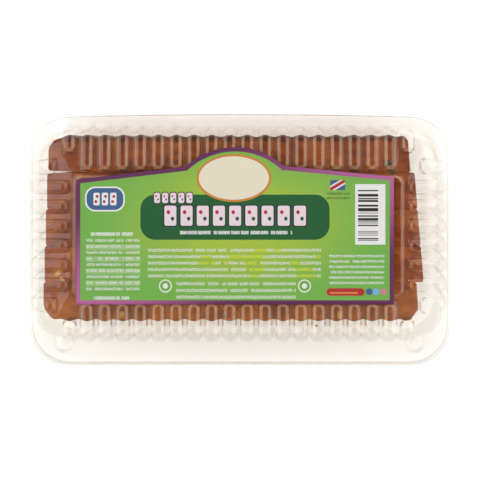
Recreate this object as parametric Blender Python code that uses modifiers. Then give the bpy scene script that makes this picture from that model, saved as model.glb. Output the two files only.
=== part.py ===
"""A clear hinged pack that holds a fruitcake cut into ten slices.

Metres, +Z up. The origin is the middle of the pack's footprint, on the surface that it stands on.
+Y points to the hinge at the rear, and +X runs along the pack's longer side.
"""

import math

import bmesh
import bpy
from mathutils import Matrix, Vector

OBJECT_NAME = "sliced_fruitcake_pack"

# The pack's outline, seen from above
PACK_WIDTH = 0.2504
PACK_DEPTH = 0.1502
FLANGE_CORNER = 0.0225
REAR_BOW = 0.0016  # the hinge edge bulges this far at its middle
LID_FLANGE_INSET = 0.0013  # the lid's flange stops this far inside the tray's
TUB_Y = 0.0063  # the tub's middle lies behind the footprint's, as the front flange is the wide one

# Heights above the table
TRAY_FLANGE_TOP = 0.0125
LID_TOP = 0.0488
SHEET = 0.0005  # thickness of the plastic
GAP = 0.0003  # air between two pieces that touch

# The tub's walls: a core rectangle, and how far the land between the ribs lies outside it
CORE_X = 0.0970
CORE_Y = 0.0414
LAND_AT_FLANGE = 0.0185
LAND_AT_LID_TOP = 0.0143
LAND_AT_TRAY_FLOOR = 0.0168
LID_EDGE_ROUND = 0.0031
TRAY_EDGE_ROUND = 0.0028
FLOOR_EDGE_LIFT = 0.0003  # the floor's rim stands clear of the table, and the rest of it is flat
FLOOR_EDGE_WIDTH = 0.0015
CORNER_STEPS = 5

# Ribs: half-round flutes that stand out of the walls, and run on over the lid's top edge
RIB_DEPTH = 0.0025
RIB_SECTION = ((-0.5, 0.0), (-0.27, 1.0), (0.27, 1.0), (0.5, 0.0))  # across, height
LONG_SIDE = {"ribs": 20, "pitch": 0.0097, "width": 0.0068, "core": CORE_X}
SHORT_SIDE = {"ribs": 8, "pitch": 0.01064, "width": 0.0076, "core": CORE_Y}

# Where things end on the lid's top, as half sizes
SHORT_RIB_END = (0.0987, 0.0451)
FULL_RIB_END = (0.0920, 0.0354)
PLATEAU = (0.0886, 0.0320)
RIB_END_SLOPE = 0.0027
PLATEAU_SLOPE = 0.0012
SHORT_RIB_CORNERS = (0.0080, 0.0065)  # where the short ribs begin to fall, and where they end
FULL_RIB_CORNER = 0.0050
TOP_CORNER = 0.0044

# The two press buttons that hold the front flanges together
BUTTON_X = 0.1042
BUTTON_Y = -0.0622
BUTTON_RADIUS = 0.0057
BUTTON_HEIGHT = 0.0036
BUTTON_TAPER = 0.0006
BUTTON_SIDES = 20

# The cake: two columns of five slices, rear slice first
CAKE_TOP = 0.0390
CAKE_REAR = 0.0612
SLICE_THICKNESS = (0.0203, 0.0199, 0.0199, 0.0195, 0.0215)
COLUMN_SPLIT = -0.0054
LEFT_ENDS = (-0.1056, -0.1063, -0.1070, -0.1077, -0.1083)
RIGHT_ENDS = (0.0942, 0.0982, 0.0999, 0.1016, 0.0992)
CUT_WIDTH = 0.0006
CAKE_CORNER = 0.0100
CAKE_EDGE = 0.0035
CORNER_SEGMENTS = 5
EDGE_SEGMENTS = 3

# The paper label on the lid
LABEL_LEFT = -0.0875
LABEL_RIGHT = 0.0839
LABEL_FRONT = -0.0303
LABEL_REAR_LEFT = 0.0371
LABEL_REAR_RIGHT = 0.0386
SHOULDER_LEFT = (-0.0285, 0.0441)
SHOULDER_RIGHT = (0.0244, 0.0445)
ARCH_TOP = (-0.0010, 0.0545)
ARCH_STEPS = 14
LABEL_THICKNESS = 0.0003

LID_FLANGE_TOP = TRAY_FLANGE_TOP + GAP + SHEET


def clear_scene():
    for obj in list(bpy.data.objects):
        bpy.data.objects.remove(obj)


def new_collection(name, hidden=False):
    collection = bpy.data.collections.new(name)
    bpy.context.scene.collection.children.link(collection)
    collection.hide_render = hidden
    return collection


def new_material(name, colour, roughness, alpha=1.0):
    material = bpy.data.materials.new(name)
    material.use_nodes = True
    shader = material.node_tree.nodes["Principled BSDF"]
    shader.inputs["Base Color"].default_value = (*colour, 1.0)
    shader.inputs["Roughness"].default_value = roughness
    shader.inputs["Metallic"].default_value = 0.0
    shader.inputs["Alpha"].default_value = alpha
    return material


def add_object(name, mesh, collection, material=None):
    obj = bpy.data.objects.new(name, mesh)
    collection.objects.link(obj)
    if material:
        mesh.materials.append(material)
    return obj


def object_from_bmesh(name, shape, collection, material=None):
    mesh = bpy.data.meshes.new(name)
    shape.to_mesh(mesh)
    shape.free()
    return add_object(name, mesh, collection, material)


# --- the thermoformed sheets -------------------------------------------------------------------


def side_stations(side):
    """Points along one side between its corners: position, rib height, and if the rib is a short one."""
    stations = [(-side["core"], 0.0, False)]
    for i in range(side["ribs"]):
        middle = (i - (side["ribs"] - 1) / 2) * side["pitch"]
        short = i in (0, side["ribs"] - 1)
        for across, height in RIB_SECTION:
            stations.append((middle + across * side["width"], height, short))
    stations.append((side["core"], 0.0, False))
    return stations


def fitted(position, straight, side):
    """The position on a ring whose straight stretch is longer or shorter than the core's."""
    full_ribs = (side["ribs"] - 2) * side["pitch"] / 2
    if straight <= full_ribs:
        return position * straight / side["core"]
    beyond = max(abs(position) - full_ribs, 0.0)
    stretched = beyond * (straight - full_ribs) / (side["core"] - full_ribs)
    return math.copysign(abs(position) - beyond + stretched, position)


def ring(half_x, half_y, corner, z, full_rib=0.0, short_rib=0.0, tilt=0.0, middle_y=TUB_Y):
    """One closed row of points round the pack, counterclockwise from the front left corner.

    The ribs stand off it by their depth times full_rib or short_rib, in a direction that tilt turns
    from straight outwards to straight up.
    """
    points = []
    for quarter in range(4):
        turn = Matrix.Rotation(quarter * math.pi / 2, 3, "Z")
        along = turn @ Vector((1, 0, 0))
        out = turn @ Vector((0, -1, 0))
        long_side = quarter % 2 == 0
        side = LONG_SIDE if long_side else SHORT_SIDE
        length, reach = (half_x, half_y) if long_side else (half_y, half_x)
        straight = length - corner
        rib_way = out * math.cos(tilt) + Vector((0, 0, math.sin(tilt)))
        for position, height, short in side_stations(side):
            lift = RIB_DEPTH * height * (short_rib if short else full_rib)
            points.append(along * fitted(position, straight, side) + out * reach + rib_way * lift)
        for step in range(1, CORNER_STEPS):
            angle = step / CORNER_STEPS * math.pi / 2
            arc = out * math.cos(angle) + along * math.sin(angle)
            points.append(along * straight + out * (reach - corner) + arc * corner)
    return [point + Vector((0, middle_y, z)) for point in points]


def flange_ring(z, inset=0.0):
    """The flange's edge, whose rear side bows out. The inset leaves the rear side where it is."""
    half_x = PACK_WIDTH / 2 - inset
    half_y = PACK_DEPTH / 2 - inset / 2
    points = ring(half_x, half_y, FLANGE_CORNER, z, middle_y=inset / 2)
    straight = half_x - FLANGE_CORNER
    for point in points:
        drop = REAR_BOW * min(1.0, (point.x / straight) ** 2)
        point.y -= drop * max(point.y, 0.0) / half_y
    return points


def wall_ring(land, z, tilt=0.0, ribs=1.0):
    return ring(CORE_X + land, CORE_Y + land, land, z, ribs, ribs, tilt)


def top_ring(half_sizes, grow, corner, z, full_rib=0.0, short_rib=0.0):
    half_x, half_y = (size + grow for size in half_sizes)
    return ring(half_x, half_y, corner, z, full_rib, short_rib, math.pi / 2)


def sheet_from_rings(name, rings, collection, material):
    """A closed loft of the rings, ended by a flat face, with the sheet's thickness below it."""
    shape = bmesh.new()
    rows = [[shape.verts.new(point) for point in points] for points in rings]
    for outer, inner in zip(rows, rows[1:]):
        for i in range(len(outer)):
            j = (i + 1) % len(outer)
            shape.faces.new((outer[i], outer[j], inner[j], inner[i]))
    shape.faces.new(rows[-1])
    obj = object_from_bmesh(name, shape, collection, material)
    thickness = obj.modifiers.new("sheet", "SOLIDIFY")
    thickness.thickness = SHEET
    thickness.offset = -1.0
    return obj


def lid_rings():
    land_top = LID_TOP - RIB_DEPTH
    bend = LID_EDGE_ROUND * (1 - math.sqrt(0.5))
    return [
        flange_ring(LID_FLANGE_TOP, LID_FLANGE_INSET),
        wall_ring(LAND_AT_FLANGE, LID_FLANGE_TOP),
        wall_ring(LAND_AT_LID_TOP, land_top - LID_EDGE_ROUND),
        wall_ring(LAND_AT_LID_TOP - bend, land_top - bend, math.pi / 4),
        wall_ring(LAND_AT_LID_TOP - LID_EDGE_ROUND, land_top, math.pi / 2),
        top_ring(SHORT_RIB_END, RIB_END_SLOPE, SHORT_RIB_CORNERS[0], land_top, 1.0, 1.0),
        top_ring(SHORT_RIB_END, 0.0, SHORT_RIB_CORNERS[1], land_top, 1.0, 0.0),
        top_ring(FULL_RIB_END, RIB_END_SLOPE, FULL_RIB_CORNER, land_top, 1.0, 0.0),
        top_ring(FULL_RIB_END, 0.0, TOP_CORNER, land_top),
        top_ring(PLATEAU, PLATEAU_SLOPE, TOP_CORNER, land_top),
        top_ring(PLATEAU, 0.0, TOP_CORNER, LID_TOP),
    ]


def tray_rings():
    """Rings of the tray's inner face, so that its walls lie one sheet inside the lid's."""
    return [
        flange_ring(TRAY_FLANGE_TOP),
        wall_ring(LAND_AT_FLANGE - SHEET, TRAY_FLANGE_TOP),
        wall_ring(LAND_AT_TRAY_FLOOR, SHEET + TRAY_EDGE_ROUND),
        wall_ring(LAND_AT_TRAY_FLOOR - TRAY_EDGE_ROUND, SHEET + FLOOR_EDGE_LIFT, ribs=0.0),
        wall_ring(LAND_AT_TRAY_FLOOR - TRAY_EDGE_ROUND - FLOOR_EDGE_WIDTH, SHEET, ribs=0.0),
    ]


def button_cone(name, x, radius, bottom, top, collection):
    shape = bmesh.new()
    bmesh.ops.create_cone(
        shape,
        cap_ends=True,
        segments=BUTTON_SIDES,
        radius1=radius,
        radius2=radius - BUTTON_TAPER,
        depth=top - bottom,
    )
    obj = object_from_bmesh(name, shape, collection)
    obj.location = (x, BUTTON_Y, (bottom + top) / 2)
    obj.display_type = "WIRE"
    obj.hide_render = True
    return obj


def add_buttons(sheet, flange_top, radius, top):
    """Two hollow domes in the front corners of the sheet's flange."""
    overlap = SHEET / 2
    steps = (
        ("UNION", radius, flange_top - overlap, top),
        ("DIFFERENCE", radius - SHEET, flange_top - SHEET - overlap, top - SHEET),
    )
    for operation, cone_radius, bottom, cone_top in steps:
        name = f"{sheet.name}_button_{operation.lower()}"
        cones = new_collection(name, hidden=True)
        for side, x in (("left", -BUTTON_X), ("right", BUTTON_X)):
            button_cone(f"{name}_{side}", x, cone_radius, bottom, cone_top, cones)
        boolean = sheet.modifiers.new(name, "BOOLEAN")
        boolean.operand_type = "COLLECTION"
        boolean.collection = cones
        boolean.operation = operation
        boolean.solver = "MANIFOLD"


def make_tray(collection, plastic):
    tray = sheet_from_rings("tray", tray_rings(), collection, plastic)
    top = LID_FLANGE_TOP + BUTTON_HEIGHT - SHEET - GAP
    add_buttons(tray, TRAY_FLANGE_TOP, BUTTON_RADIUS - SHEET - GAP, top)
    return tray


def make_lid(collection, plastic):
    lid = sheet_from_rings("lid", lid_rings(), collection, plastic)
    add_buttons(lid, LID_FLANGE_TOP, BUTTON_RADIUS, LID_FLANGE_TOP + BUTTON_HEIGHT)
    return lid


# --- the cake ----------------------------------------------------------------------------------


def round_edges(shape, wanted, radius, segments):
    edges = [edge for edge in shape.edges if wanted(edge)]
    bmesh.ops.bevel(shape, geom=edges, offset=radius, segments=segments, profile=0.5, affect="EDGES")


def make_slice(name, low, high, outer_x, outer_y, collection, crumb):
    """A block from low to high. outer_x and outer_y say which of its sides are the cake's own crust:
    -1 or 1 for the side at the low or high end, 0 for neither."""
    shape = bmesh.new()
    bmesh.ops.create_cube(shape, size=1.0)
    size = Vector(high) - Vector(low)
    middle = (Vector(high) + Vector(low)) / 2
    for vert in shape.verts:
        vert.co = Vector(c * s for c, s in zip(vert.co, size)) + middle
    tiny = 1e-6
    crust_x = high[0] if outer_x > 0 else low[0]
    crust_y = high[1] if outer_y > 0 else low[1]

    def cake_corner(edge):
        return all(abs(v.co.x - crust_x) < tiny and abs(v.co.y - crust_y) < tiny for v in edge.verts)

    def crust_rim(edge):
        a, b = (vert.co for vert in edge.verts)
        if min(a.z, b.z) < high[2] - tiny:
            return False
        cut_x = low[0] if outer_x > 0 else high[0]
        on_cut_x = max(abs(a.x - cut_x), abs(b.x - cut_x)) < tiny
        on_cut_y = abs(a.y - b.y) < tiny and not (outer_y and abs(a.y - crust_y) < tiny)
        return not on_cut_x and not on_cut_y

    if outer_y:
        round_edges(shape, cake_corner, CAKE_CORNER, CORNER_SEGMENTS)
    round_edges(shape, crust_rim, CAKE_EDGE, EDGE_SEGMENTS)
    return object_from_bmesh(name, shape, collection, crumb)


def make_slices(collection):
    crumb = new_material("baked_cake", (0.23, 0.05, 0.01), 0.75)
    floor = SHEET + GAP
    rear = CAKE_REAR
    last = len(SLICE_THICKNESS) - 1
    for row, thickness in enumerate(SLICE_THICKNESS):
        front = rear - thickness
        outer_y = {0: 1, last: -1}.get(row, 0)
        columns = (
            ("left", LEFT_ENDS[row], COLUMN_SPLIT - CUT_WIDTH / 2, -1),
            ("right", COLUMN_SPLIT + CUT_WIDTH / 2, RIGHT_ENDS[row], 1),
        )
        for side, x_low, x_high, outer_x in columns:
            low = (x_low, front, floor)
            high = (x_high, rear, CAKE_TOP)
            make_slice(f"slice_{side}_{row + 1}", low, high, outer_x, outer_y, collection, crumb)
        rear = front - CUT_WIDTH


# --- the label ---------------------------------------------------------------------------------


def arc_through(start, middle, end, steps):
    """Points on the circle through three points, from start to end, both left out."""
    a, b, c = (complex(*point) for point in (start, middle, end))
    w = (c - a) / (b - a)
    centre = a + (b - a) * (w - abs(w) ** 2) / (w - w.conjugate()) if w.imag else b
    first = math.atan2((a - centre).imag, (a - centre).real)
    last = math.atan2((c - centre).imag, (c - centre).real)
    radius = abs(a - centre)
    angles = [first + (last - first) * i / steps for i in range(1, steps)]
    return [(centre.real + radius * math.cos(t), centre.imag + radius * math.sin(t)) for t in angles]


def make_label(collection):
    outline = [
        (LABEL_LEFT, LABEL_FRONT),
        (LABEL_RIGHT, LABEL_FRONT),
        (LABEL_RIGHT, LABEL_REAR_RIGHT),
        SHOULDER_RIGHT,
        *arc_through(SHOULDER_RIGHT, ARCH_TOP, SHOULDER_LEFT, ARCH_STEPS),
        SHOULDER_LEFT,
        (LABEL_LEFT, LABEL_REAR_LEFT),
    ]
    curve = bpy.data.curves.new("label", "CURVE")
    curve.dimensions = "2D"
    curve.fill_mode = "BOTH"
    curve.extrude = LABEL_THICKNESS / 2
    spline = curve.splines.new("POLY")
    spline.points.add(len(outline) - 1)
    for point, (x, y) in zip(spline.points, outline):
        point.co = (x, y, 0.0, 1.0)
    spline.use_cyclic_u = True
    curve.materials.append(new_material("printed_paper", (0.32, 0.50, 0.08), 0.45))
    label = bpy.data.objects.new("label", curve)
    label.location.z = LID_TOP + GAP + LABEL_THICKNESS / 2
    collection.objects.link(label)
    return label


def main():
    clear_scene()
    pack = new_collection(OBJECT_NAME)
    plastic = new_material("clear_plastic", (0.90, 0.93, 0.92), 0.08, alpha=0.3)
    make_tray(pack, plastic)
    make_lid(pack, plastic)
    make_slices(pack)
    make_label(pack)


main()
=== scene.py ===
import math

import bpy
import numpy as np
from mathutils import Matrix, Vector


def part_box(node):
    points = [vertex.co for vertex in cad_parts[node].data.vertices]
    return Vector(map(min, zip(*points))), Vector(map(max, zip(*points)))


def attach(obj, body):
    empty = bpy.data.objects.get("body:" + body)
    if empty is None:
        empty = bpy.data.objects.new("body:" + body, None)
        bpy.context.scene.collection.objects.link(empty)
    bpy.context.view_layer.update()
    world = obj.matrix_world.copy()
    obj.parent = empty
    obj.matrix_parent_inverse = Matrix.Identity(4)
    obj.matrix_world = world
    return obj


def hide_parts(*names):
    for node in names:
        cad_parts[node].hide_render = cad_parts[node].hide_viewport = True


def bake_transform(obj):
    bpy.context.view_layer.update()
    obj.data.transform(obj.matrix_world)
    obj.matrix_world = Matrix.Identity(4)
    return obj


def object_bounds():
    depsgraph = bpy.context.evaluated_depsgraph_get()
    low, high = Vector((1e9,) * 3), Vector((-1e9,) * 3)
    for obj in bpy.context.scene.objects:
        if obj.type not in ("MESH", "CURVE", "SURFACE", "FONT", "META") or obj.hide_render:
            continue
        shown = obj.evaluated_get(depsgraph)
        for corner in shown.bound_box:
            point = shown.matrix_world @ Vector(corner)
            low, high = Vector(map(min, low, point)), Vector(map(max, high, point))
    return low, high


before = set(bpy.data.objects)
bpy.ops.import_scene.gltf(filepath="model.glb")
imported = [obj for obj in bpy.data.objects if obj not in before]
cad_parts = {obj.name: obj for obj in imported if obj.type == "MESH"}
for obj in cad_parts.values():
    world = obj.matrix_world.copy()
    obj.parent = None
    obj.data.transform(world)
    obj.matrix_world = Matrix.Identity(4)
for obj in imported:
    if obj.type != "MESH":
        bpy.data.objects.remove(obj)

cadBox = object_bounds()
mm = 0.001
trayLow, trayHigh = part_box("tray")
lidLow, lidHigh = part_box("lid")
labelLow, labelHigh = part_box("label")
slices = [(column, row) for column in ("left", "right") for row in range(5)]
sliceBoxes = [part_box(f"slice_{column}_{row + 1}") for column, row in slices]
cakeLow = np.min([list(low) for low, high in sliceBoxes], axis=0)
cakeHigh = np.max([list(high) for low, high in sliceBoxes], axis=0)
print("frame loaded:", len(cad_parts), "nodes")


# A dictionary whose values are also read as attributes.
class Values(dict):
    __getattr__ = dict.__getitem__


# Puts points (n, 3) and faces (lists of equal-length index arrays) into a new mesh object.
def meshFromArrays(name, points, faceSets):
    mesh = bpy.data.meshes.new(name)
    sizes = np.concatenate([np.full(len(faces), faces.shape[1]) for faces in faceSets])
    corners = np.concatenate([faces.reshape(-1) for faces in faceSets]).astype(np.int32)
    mesh.vertices.add(len(points))
    mesh.vertices.foreach_set("co", np.ascontiguousarray(points, np.float32).reshape(-1))
    mesh.loops.add(len(corners))
    mesh.loops.foreach_set("vertex_index", corners)
    mesh.polygons.add(len(sizes))
    mesh.polygons.foreach_set("loop_start", (np.cumsum(sizes) - sizes).astype(np.int32))
    mesh.polygons.foreach_set("use_smooth", np.ones(len(sizes), bool))
    mesh.update(calc_edges=True)
    mesh.validate()
    piece = bpy.data.objects.new(name, mesh)
    bpy.context.scene.collection.objects.link(piece)
    return piece


# Quads of a (rows, columns) grid. In a closed one the last column meets the first.
def gridQuads(rows, columns, first=0, closed=True):
    index = np.arange(rows * columns).reshape(rows, columns) + first
    if closed:
        index = np.hstack([index, index[:, :1]])
    corners = [index[:-1, :-1], index[:-1, 1:], index[1:, 1:], index[1:, :-1]]
    return np.stack(corners, axis=-1).reshape(-1, 4)


# How softNoise turns lattice places into numbers: factors scatter them, and the low bits are kept.
scatter = Values(axes=(73856093, 19349663, 83492791), seed=2654435761, stir=1274126177, kept=65535)


# Smooth noise from -1 to 1: random values on a lattice of the given spacing, blended between its corners.
def softNoise(points, spacing, seed):
    cell = points / spacing
    low = np.floor(cell).astype(np.int64)
    part = cell - low
    part = part * part * (3 - 2 * part)
    total = np.zeros(points.shape[:-1])
    for corner in range(8):
        offset = np.array([corner & 1, corner >> 1 & 1, corner >> 2 & 1])
        spot = low + offset
        mixed = seed * scatter.seed
        for axis, factor in enumerate(scatter.axes):
            mixed = spot[..., axis] * factor ^ mixed
        mixed = (mixed ^ mixed >> 13) * scatter.stir
        value = ((mixed ^ mixed >> 16) & scatter.kept) / (scatter.kept / 2) - 1
        weight = np.where(offset, part, 1 - part).prod(axis=-1)
        total += value * weight
    return total


# Sum of such noises, each given as its spacing, seed and strength.
def noiseSum(points, layers):
    return sum(softNoise(points, spacing, seed) * strength for spacing, seed, strength in layers)


# A line through 2D corner points, with an arc of the given radius at each inner corner.
# Gives the points and, at each, the angle of the normal on its right, from the first axis.
def roundedPath(corners, radii, steps):
    corners = np.array(corners, float)
    points = [corners[0]]
    for before, corner, after, radius, count in zip(corners, corners[1:], corners[2:], radii, steps):
        into = (corner - before) / np.linalg.norm(corner - before)
        out = (after - corner) / np.linalg.norm(after - corner)
        turn = math.atan2(into[0] * out[1] - into[1] * out[0], into @ out)
        side = math.copysign(1, turn)
        start = corner - into * radius * abs(math.tan(turn / 2))
        centre = start + side * radius * np.array([-into[1], into[0]])
        first = math.atan2(*(start - centre)[::-1])
        angles = first + turn * np.linspace(0, 1, count + 1)
        points.extend(centre + radius * np.stack([np.cos(angles), np.sin(angles)], axis=-1))
    points.append(corners[-1])
    points = np.array(points)
    strides = np.diff(points, axis=0)
    ways = np.concatenate([strides[:1], (strides[1:] + strides[:-1]) / 2, strides[-1:]])
    return points, np.arctan2(-ways[:, 0], ways[:, 1])


# A socket whose + - * / add Math nodes.
class Flow:
    def __init__(self, finish, socket):
        self.finish, self.socket = finish, socket

    def apply(self, operation, *others, first=None):
        values = [self, *others] if first is None else [first, self]
        node = self.finish.add("Math", {"operation": operation}, dict(enumerate(values)))
        return Flow(self.finish, node.outputs[0])

    def __add__(self, other):
        return self.apply("ADD", other)

    def __sub__(self, other):
        return self.apply("SUBTRACT", other)

    def __mul__(self, other):
        return self.apply("MULTIPLY", other)

    def __truediv__(self, other):
        return self.apply("DIVIDE", other)

    def __rsub__(self, other):
        return self.apply("SUBTRACT", first=other)

    def __rtruediv__(self, other):
        return self.apply("DIVIDE", first=other)

    __radd__ = __add__
    __rmul__ = __mul__

    # 0 below low, 1 above high, smooth between
    def rise(self, low, high):
        settings = {"interpolation_type": "SMOOTHSTEP"}
        node = self.finish.add("MapRange", settings, {"Value": self, "From Min": low, "From Max": high})
        return Flow(self.finish, node.outputs["Result"])

    def __abs__(self):
        return self.apply("ABSOLUTE")

    def below(self, value):
        return self.apply("LESS_THAN", value)

    def least(self, other):
        return self.apply("MINIMUM", other)

    # 1 within the given distance of a value
    def near(self, value, distance):
        return self.apply("COMPARE", value, distance)


# A material, or a world, and its nodes.
class Finish:
    def __init__(self, name, kind=bpy.data.materials):
        self.owner = kind.new(name)
        self.owner.use_nodes = True
        self.tree = self.owner.node_tree
        self.tree.nodes.clear()

    def add(self, kind, settings=None, inputs=None):
        node = self.tree.nodes.new("ShaderNode" + kind)
        for key, value in (settings or {}).items():
            setattr(node, key, value)
        for key, value in (inputs or {}).items():
            self.feed(node.inputs[key], value)
        return node

    def feed(self, socket, value):
        if isinstance(value, Flow):
            self.tree.links.new(value.socket, socket)
        elif isinstance(value, tuple) and len(value) == 3 and socket.type == "RGBA":
            socket.default_value = (*value, 1.0)
        else:
            socket.default_value = value

    def out(self, node, key=0):
        return Flow(self, node.outputs[key])

    def place(self):
        return self.out(self.add("TexCoord"), "Object")

    def axes(self, place):
        node = self.add("SeparateXYZ", inputs={0: place})
        return [self.out(node, key) for key in "XYZ"]

    def noise(self, place, scale, detail=2.0, roughness=0.5):
        inputs = {"Vector": place, "Scale": scale, "Detail": detail, "Roughness": roughness}
        return self.out(self.add("TexNoise", inputs=inputs))

    def blend(self, factor, under, over):
        node = self.add("Mix", {"data_type": "RGBA"}, {0: factor, 6: under, 7: over})
        return self.out(node, 2)

    def ramp(self, factor, stops):
        node = self.add("ValToRGB", inputs={0: factor})
        elements = node.color_ramp.elements
        while len(elements) < len(stops):
            elements.new(0.5)
        for element, (place, colour) in zip(elements, stops):
            element.position = place
            element.color = (*colour, 1.0)
        return self.out(node)

    def attribute(self, name):
        return self.out(self.add("Attribute", {"attribute_name": name}), "Fac")

    def bump(self, height, distance, strength):
        inputs = {"Height": height, "Distance": distance, "Strength": strength}
        return self.out(self.add("Bump", inputs=inputs))

    def principled(self, inputs):
        return self.add("BsdfPrincipled", inputs=inputs)

    # one shader over another
    def layered(self, share, under, over):
        return self.add("MixShader", inputs={0: share, 1: self.out(under), 2: self.out(over)})

    def show(self, shader, output="OutputMaterial"):
        self.add(output, inputs={0: self.out(shader)})
        return self.owner


# Gives a finished piece its material and body, and hides the CAD nodes it stands for.
def settle(piece, material, body, nodes=()):
    piece.data.materials.append(material)
    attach(piece, body)
    if nodes:
        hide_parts(*nodes)


def thicken(piece, thickness):
    solid = piece.modifiers.new("sheet", "SOLIDIFY")
    solid.thickness = thickness
    solid.offset = -1.0


# Stores one number for each vertex under a name that a material can read.
def setAttribute(piece, name, values):
    attribute = piece.data.attributes.new(name, "FLOAT", "POINT")
    attribute.data.foreach_set("value", np.ascontiguousarray(values, np.float32).reshape(-1))


clearLook = Values(
    straightMirror=0.036,
    edgeMirror=0.20,
    edgePower=5.0,
    edgeShade=0.14,
    shadePower=8.0,
    passed=(0.996, 0.993, 0.985),
    passedAtEdges=(0.50, 0.47, 0.42),
    # painted shade: a darker tint where the sheet creases, for the ribs' dark outlines
    paintedCreaseShade=(0.56, 0.48, 0.40),
    # painted highlight: a tan diffuse layer on the rib slopes stands in for their reflections
    haze=0.020,
    hazeTone=(0.95, 0.66, 0.38),
    hazeRoughness=0.9,
    shine=(0.98, 0.98, 0.98),
    roughness=0.05,
)

button = Values(
    x=104.2 * mm,
    y=-61.4 * mm,
    radius=5.7 * mm,
    trayRadius=5.0 * mm,
    height=3.6 * mm,
    taper=0.5 * mm,
    round=0.7 * mm,
    rim=0.9 * mm,  # how far the foot spreads on the flange
    footFillet=0.35 * mm,
    middle=0.02 * mm,  # radius of the last ring on top
    sheet=0.4 * mm,
    sides=48,
    openingInset=0.5 * mm,  # the flanges' openings are this much smaller than the tray's button
    openingHeight=0.6 * mm,  # and end this far above the lid's underside
)


# Thin clear sheet: light goes straight through, a little is mirrored face on and more at the edges.
# Painted shade darkens steep edges and creases, and a tan diffuse layer paints highlights on the ribs.
def makeClearPlastic():
    finish = Finish("clear_plastic")
    look = clearLook
    facing = finish.out(finish.add("LayerWeight", inputs={"Blend": 0.5}), "Facing")
    mirror = facing.apply("POWER", look.edgePower) * look.edgeMirror + look.straightMirror
    shade = facing.apply("POWER", look.shadePower) * look.edgeShade
    through, throughEdges, throughCreaseShade = (
        finish.add("BsdfTransparent", inputs={"Color": look[key]})
        for key in ("passed", "passedAtEdges", "paintedCreaseShade")
    )
    paintedHighlightFinish = {"Base Color": look.hazeTone, "Roughness": look.hazeRoughness, "Specular IOR Level": 0.0}
    gloss = {"Base Color": look.shine, "Roughness": look.roughness, "Metallic": 1.0}
    sheet = finish.layered(shade, through, throughEdges)
    # painted shade darkens the sheet along its creases
    sheet = finish.layered(finish.attribute("crease"), sheet, throughCreaseShade)
    # painted highlight: a tan diffuse layer over the rib slopes, arches and plateau rim
    sheet = finish.layered(finish.attribute("haze") * look.haze, sheet, finish.principled(paintedHighlightFinish))
    sheet = finish.layered(mirror, sheet, finish.principled(gloss))
    # the flanges are open under the snap buttons
    x, y, z = finish.axes(finish.place())
    acrossX, acrossY = abs(x) - button.x, y - button.y
    opening = button.trayRadius - button.openingInset
    opened = (acrossX * acrossX + acrossY * acrossY).below(opening**2)
    opened = opened * z.below(lidLow.z + button.openingHeight)
    return finish.show(finish.layered(opened, sheet, finish.add("BsdfTransparent")))


# Lists that start with another list are curves: places, and the value at each.
pack = Values(
    sheet=0.5 * mm,
    coreX=97.0 * mm,
    coreY=41.4 * mm,
    tubY=6.3 * mm,
    flangeStart=24 * mm,  # where the paths up and down the walls start
    flangeCorner=22.5 * mm,
    flangeRows=[0, 0.03, 0.06, 0.9, 0.97],  # shares of the way from the edge to the tub's foot
    flangeCrease=0.3,  # at the edge
    rearBow=1.6 * mm,
    lidInset=1.3 * mm,
    landAtFlange=18.5 * mm,
    landAtLidTop=14.3 * mm,
    landAtFloor=16.8 * mm,
    lidEdge=3.6 * mm,
    trayEdge=3.0 * mm,
    footFillet=0.8 * mm,
    footSteps=3,
    cornerSteps=13,
    lidPathEnd=11 * mm,
    trayPathEnd=8 * mm,
    floorRows=[12 * mm, 9 * mm],
    # rows over the lid's land, as distances outside the core in mm: first, last and how many
    landRows=[(10.4, 7.8, 3), (7.3, 3.5, 11), (2.6, 0.0, 3), (-0.8, -6.1, 14), (-7.4, -7.4, 1)],
    landFall=0.5 * mm,  # the land round the plateau falls this much outward
    landSlope=[[-8.0, 10.5, 14.5], [0.0, 1.0, 0.0]],
    stepStart=-7.4 * mm,
    stepFoot=-8.7 * mm,
    stepTop=-9.4 * mm,
    stepFillets=[0.3 * mm, 0.35 * mm],
    stepEnd=-14 * mm,
    plateauRow=-10.6 * mm,
    lidSpread=[[-9.4, -6.0, 3.7, 11.2], [1.0, 1.0, -2.0, 0.0]],  # how much longer the rows are, in mm
    lidCorner=[[-9.4, -6.0, -3.2, 3.7, 6.3, 11.2], [4.4, 4.4, 4.6, 1.9, 5.2, 11.2]],
)
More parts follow.
